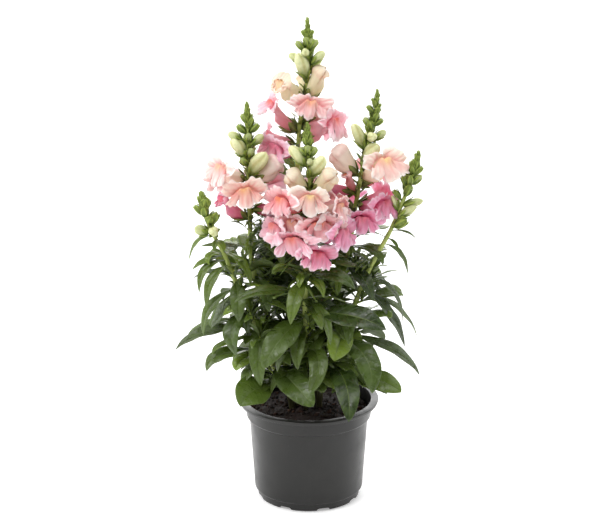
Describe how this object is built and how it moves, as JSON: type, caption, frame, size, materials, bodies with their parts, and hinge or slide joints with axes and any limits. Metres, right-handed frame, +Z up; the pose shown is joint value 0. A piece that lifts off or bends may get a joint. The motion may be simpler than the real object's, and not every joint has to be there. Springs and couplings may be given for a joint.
{
  "type": "potted snapdragon plant",
  "caption": "Flowering bedding snapdragon with pink and cream spikes, green leaves and side shoots, planted in a dark round plastic nursery pot.",
  "frame": {"origin": "centre of the pot's flat underside, on the surface it stands on", "axes": "+Z up along the stems, -Y towards the front of the plant, +X to its right seen from the front"},
  "size_m": [0.2088, 0.1324, 0.412],
  "materials": {
    "pot_plastic": "satin charcoal thermoformed polypropylene",
    "potting_soil": "dark loose peat-based potting soil with bark and perlite",
    "stem_green": "smooth fresh green plant stem with green buds",
    "leaf_green": "waxy mid-green leaf, paler underneath",
    "petal_pink": "soft satin petal, coral pink tube, paler lips and a yellow palate",
    "petal_cream": "soft satin young petal, cream with a peach blush"
  },
  "bodies": {
    "root": {"flower_front_1": "petal_cream", "flower_front_10": "petal_pink", "flower_front_2": "petal_cream", "flower_front_3": "petal_pink", "flower_front_4": "petal_pink", "flower_front_5": "petal_pink", "flower_front_6": "petal_pink", "flower_front_7": "petal_pink", "flower_front_8": "petal_pink", "flower_front_9": "petal_pink", "flower_left_1": "petal_pink", "flower_left_2": "petal_pink", "flower_left_3": "petal_pink", "flower_left_4": "petal_pink", "flower_right_1": "petal_pink", "flower_right_2": "petal_pink", "flower_right_3": "petal_cream", "flower_right_4": "petal_pink", "flower_right_5": "petal_pink", "flower_tall_1": "petal_cream", "flower_tall_2": "petal_cream", "flower_tall_3": "petal_pink", "flower_tall_4": "petal_pink", "flower_tall_5": "petal_pink", "flower_tall_6": "petal_pink", "leaf_arc_left": "leaf_green", "leaf_arch_right": "leaf_green", "leaf_back_left": "leaf_green", "leaf_broad_left": "leaf_green", "leaf_broad_right": "leaf_green", "leaf_dark_left": "leaf_green", "leaf_drop_left": "leaf_green", "leaf_drop_right": "leaf_green", "leaf_far_left": "leaf_green", "leaf_far_right": "leaf_green", "leaf_hanging": "leaf_green", "leaf_high_left": "leaf_green", "leaf_high_right": "leaf_green", "leaf_inner_left": "leaf_green", "leaf_inner_right": "leaf_green", "leaf_level_left": "leaf_green", "leaf_long_left": "leaf_green", "leaf_low_front": "leaf_green", "leaf_low_left": "leaf_green", "leaf_low_right": "leaf_green", "leaf_middle_low": "leaf_green", "leaf_middle_right": "leaf_green", "leaf_pale_right": "leaf_green", "leaf_rim_left": "leaf_green", "leaf_rim_right": "leaf_green", "leaf_side_left": "leaf_green", "leaf_side_right": "leaf_green", "pot": "pot_plastic", "soil": "potting_soil", "stem_far_left": "stem_green", "stem_far_right": "stem_green", "stem_front": "stem_green", "stem_left": "stem_green", "stem_right": "stem_green", "stem_tall": "stem_green"}
  },
  "joints": []
}
